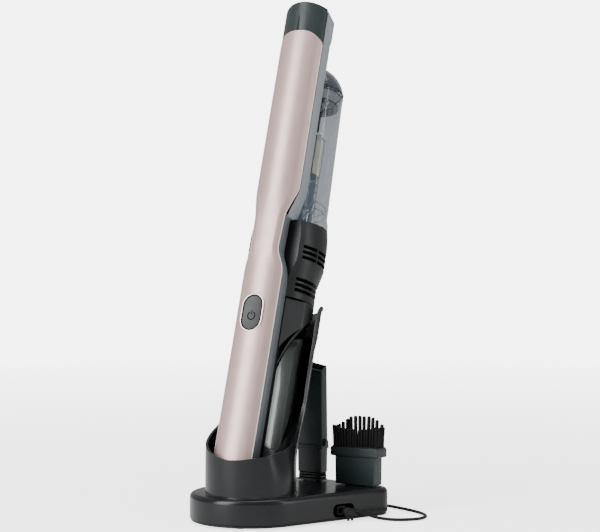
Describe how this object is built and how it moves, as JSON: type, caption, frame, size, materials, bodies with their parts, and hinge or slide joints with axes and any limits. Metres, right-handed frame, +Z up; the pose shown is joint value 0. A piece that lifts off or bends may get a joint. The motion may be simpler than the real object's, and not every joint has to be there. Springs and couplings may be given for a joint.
{
  "type": "handheld vacuum with charging dock",
  "caption": "Slim handheld vacuum leaning in a charging dock, with clear dust bin, crevice tool, brush tool and a corded wall charger.",
  "frame": {"origin": "centre of the bounding box's bottom, without the cord and what is on it", "axes": "+Z up, +X along the dock's long side, away from the vacuum's collar"},
  "size_m": [0.2082, 0.2048, 0.4927],
  "materials": {
    "rose": "satin metallic",
    "slate": "satin",
    "grey": "satin",
    "black": "semi-gloss",
    "charcoal": "satin",
    "clear": "clear tinted",
    "filter": "pleated",
    "rubber": "matt",
    "metal": "bright",
    "contact": "bright",
    "cell": "shrink sleeve",
    "board": "satin",
    "liner": "gloss",
    "bristle": "fibre",
    "cord": "satin",
    "bezel": "satin"
  },
  "bodies": {
    "dock": {"dock_top_shell": "black", "dock_bottom_plate": "charcoal", "dock_feet": "rubber", "charge_board": "board", "dc_jack": "charcoal", "dock_collar": "black", "backrest_rib": "liner", "charge_seat": "charcoal", "crevice_post": "black", "brush_post": "black", "dock_screws": "metal", "dc_plug": "cord", "cord_tube": "cord", "cord_coil": "cord", "wall_adapter": "charcoal", "adapter_blades": "metal", "adapter_relief": "cord"},
    "contact_pins": {"charge_pins": "contact"},
    "vacuum": {"spine_cover": "rose", "duct_body": "grey", "nozzle_cap": "slate", "grip_rear_shell": "black", "waist_link": "black", "grip_end_cap": "black", "charge_pads": "contact", "battery_cell_low": "cell", "battery_cell_high": "cell", "battery_strip": "contact", "control_board": "board", "power_switch": "charcoal", "button_bezel": "bezel", "motor_housing": "charcoal", "neck_shell": "black", "neck_floor": "black", "motor": "metal", "motor_mount": "charcoal", "fan_guard": "charcoal", "bin_gasket": "rubber", "case_screws": "metal"},
    "button": {"power_button": "charcoal"},
    "release": {"bin_release": "charcoal"},
    "fan": {"impeller": "charcoal"},
    "bin": {"dust_bin": "clear", "lid_hinge": "charcoal", "inlet_elbow": "charcoal", "bin_partition": "charcoal"},
    "lid": {"bin_lid": "clear", "lid_seal": "rubber"},
    "flap": {"inlet_flap": "rubber"},
    "filter": {"filter_frame": "clear", "filter_pleats": "filter"},
    "crevice": {"crevice_tool": "slate"},
    "brush": {"brush_tool": "slate", "brush_bristles": "bristle"}
  },
  "joints": [
    {"name": "vacuum_lift", "type": "slide", "parent": "dock", "child": "vacuum", "axis": [0.2801, 0.1306, 0.9511], "range_m": [0, 0.12]},
    {"name": "contact_pin_press", "type": "slide", "parent": "dock", "child": "contact_pins", "axis": [-0.2801, -0.1306, -0.9511], "range_m": [0, 0.0012], "stiffness_N_per_m": 400, "springref_m": -0.001},
    {"name": "power_button_press", "type": "slide", "parent": "vacuum", "child": "button", "axis": [0.8619, 0.4019, -0.309], "range_m": [0, 0.0012], "stiffness_N_per_m": 1500, "springref_m": -0.001},
    {"name": "bin_release_press", "type": "slide", "parent": "vacuum", "child": "release", "axis": [-0.8619, -0.4019, 0.309], "range_m": [0, 0.0012], "stiffness_N_per_m": 1200, "springref_m": -0.001},
    {"name": "fan_spin", "type": "hinge", "parent": "vacuum", "child": "fan", "pos_m": [0.02411, 0.02108, 0.25676], "axis": [0.2801, 0.1306, 0.9511], "continuous": true},
    {"name": "bin_lift", "type": "slide", "parent": "vacuum", "child": "bin", "axis": [0.2801, 0.1306, 0.9511], "range_m": [0, 0.018]},
    {"name": "lid_open", "type": "hinge", "parent": "bin", "child": "lid", "pos_m": [0.09547, 0.05436, 0.39458], "axis": [-0.4226, 0.9063, 0], "range_deg": [0, 95]},
    {"name": "flap_swing", "type": "hinge", "parent": "bin", "child": "flap", "pos_m": [0.06931, 0.04216, 0.38534], "axis": [0.4226, -0.9063, 0], "range_deg": [0, 45], "stiffness_Nm_per_rad": 0.001, "springref_deg": -5.73},
    {"name": "filter_slide", "type": "slide", "parent": "vacuum", "child": "filter", "axis": [0.2801, 0.1306, 0.9511], "range_m": [0, 0.018]},
    {"name": "crevice_lift", "type": "slide", "parent": "dock", "child": "crevice", "axis": [0, 0, 1], "range_m": [0, 0.015]},
    {"name": "brush_lift", "type": "slide", "parent": "dock", "child": "brush", "axis": [0, 0, 1], "range_m": [0, 0.03]}
  ],
  "couplings": [
    {"joint": "filter_slide", "follows": "bin_lift", "ratio": 1}
  ]
}
